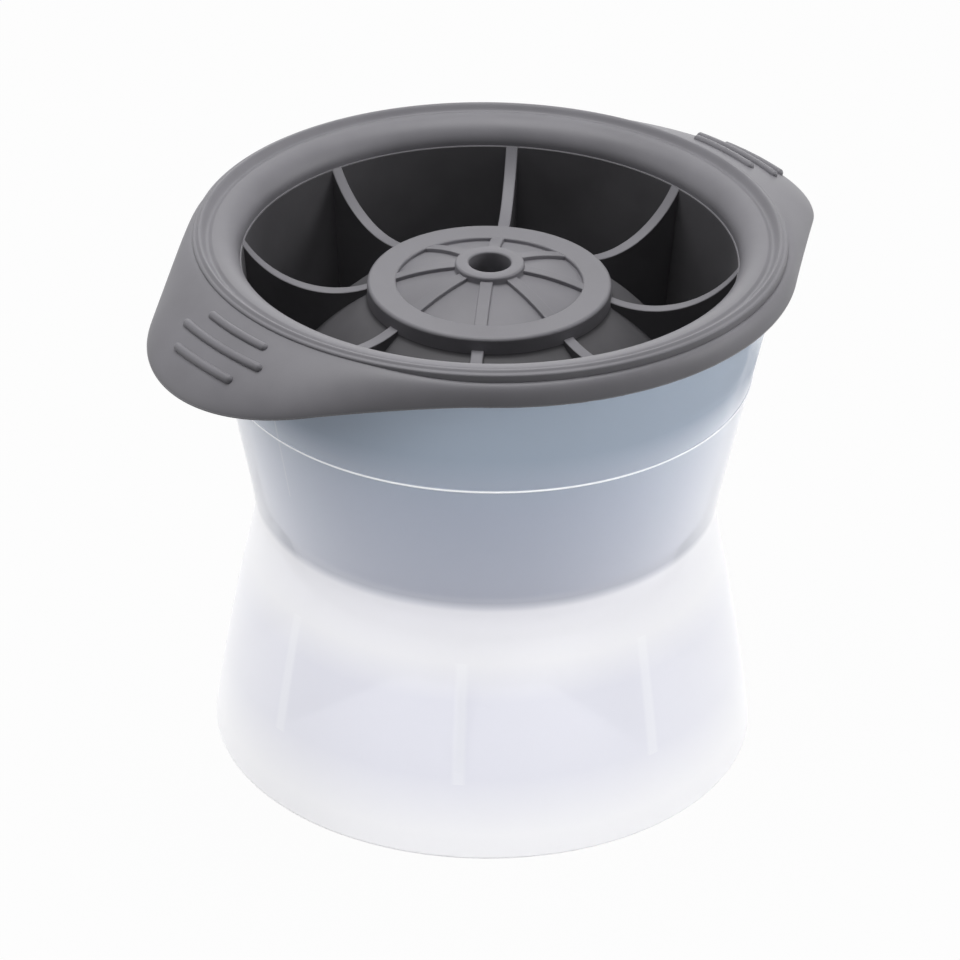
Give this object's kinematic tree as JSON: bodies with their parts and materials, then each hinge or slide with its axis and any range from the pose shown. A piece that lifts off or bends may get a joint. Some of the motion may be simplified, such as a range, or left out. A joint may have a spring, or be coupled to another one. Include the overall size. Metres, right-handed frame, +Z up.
{
  "type": "ice ball mould",
  "caption": "Ice ball mould: a flared clear stand with a round bowl, closed by a grey silicone lid with a ribbed dome, a vent and pull tabs.",
  "frame": {"origin": "middle of the stand's foot, on the surface it stands on", "axes": "+Z up along the mould's axis and the way the lid lifts, +X along the two pull tabs, +Y across them"},
  "size_m": [0.1146, 0.0912, 0.0842],
  "materials": {
    "silicone": "satin mid-grey silicone",
    "clear_plastic": "milky translucent moulded plastic"
  },
  "bodies": {
    "stand": {"clear_stand": "clear_plastic"},
    "lid": {"silicone_lid": "silicone"}
  },
  "joints": [
    {"name": "lid_lift", "type": "slide", "parent": "stand", "child": "lid", "axis": [0, 0, 1], "range_m": [0, 0.07]}
  ]
}
